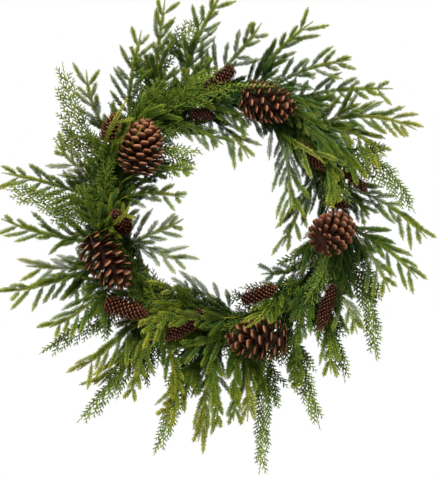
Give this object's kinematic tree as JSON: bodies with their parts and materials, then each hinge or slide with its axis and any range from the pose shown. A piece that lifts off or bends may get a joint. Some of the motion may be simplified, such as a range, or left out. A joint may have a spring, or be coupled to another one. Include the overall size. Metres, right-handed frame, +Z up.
{
  "type": "pinecone wreath",
  "caption": "Hanging evergreen wreath: pine and cedar sprays swept clockwise round a wire frame, with open and closed pinecones tied among them.",
  "frame": {"origin": "where the hook bears: the inside of the wire frame at twelve o'clock", "axes": "+Z up, -Y the front that faces the room, +Y the wall, +X to the right of someone who faces the front"},
  "size_m": [0.6753, 0.1141, 0.778],
  "materials": {
    "frame_wire": "dark green enamel",
    "pine_foliage": "soft moulded needles, green with pale yellow-green tips",
    "cedar_foliage": "soft moulded scale leaves, yellow-green",
    "open_cone": "dry brown scales with paler rims",
    "closed_cone": "dry reddish-brown scales"
  },
  "bodies": {
    "root": {"cedar_spray_06": "cedar_foliage", "cedar_spray_09": "cedar_foliage", "cedar_spray_11": "cedar_foliage", "cedar_spray_12": "cedar_foliage", "cedar_spray_13": "cedar_foliage", "cedar_spray_16": "cedar_foliage", "cedar_spray_17": "cedar_foliage", "cedar_spray_19": "cedar_foliage", "cedar_spray_23": "cedar_foliage", "cedar_spray_26": "cedar_foliage", "cedar_spray_29": "cedar_foliage", "cedar_spray_37": "cedar_foliage", "closed_pinecone_1": "closed_cone", "closed_pinecone_10": "closed_cone", "closed_pinecone_11": "closed_cone", "closed_pinecone_2": "closed_cone", "closed_pinecone_3": "closed_cone", "closed_pinecone_4": "closed_cone", "closed_pinecone_5": "closed_cone", "closed_pinecone_6": "closed_cone", "closed_pinecone_7": "closed_cone", "closed_pinecone_8": "closed_cone", "closed_pinecone_9": "closed_cone", "open_pinecone_1": "open_cone", "open_pinecone_2": "open_cone", "open_pinecone_3": "open_cone", "open_pinecone_4": "open_cone", "open_pinecone_5": "open_cone", "pine_spray_01": "pine_foliage", "pine_spray_02": "pine_foliage", "pine_spray_03": "pine_foliage", "pine_spray_04": "pine_foliage", "pine_spray_05": "pine_foliage", "pine_spray_07": "pine_foliage", "pine_spray_08": "pine_foliage", "pine_spray_10": "pine_foliage", "pine_spray_14": "pine_foliage", "pine_spray_15": "pine_foliage", "pine_spray_18": "pine_foliage", "pine_spray_20": "pine_foliage", "pine_spray_21": "pine_foliage", "pine_spray_22": "pine_foliage", "pine_spray_24": "pine_foliage", "pine_spray_25": "pine_foliage", "pine_spray_27": "pine_foliage", "pine_spray_28": "pine_foliage", "pine_spray_30": "pine_foliage", "pine_spray_31": "pine_foliage", "pine_spray_32": "pine_foliage", "pine_spray_33": "pine_foliage", "pine_spray_34": "pine_foliage", "pine_spray_35": "pine_foliage", "pine_spray_36": "pine_foliage", "pine_spray_38": "pine_foliage", "pine_spray_39": "pine_foliage", "pine_spray_40": "pine_foliage", "pine_spray_41": "pine_foliage", "pine_spray_42": "pine_foliage", "pine_spray_43": "pine_foliage", "wire_frame": "frame_wire"}
  },
  "joints": []
}
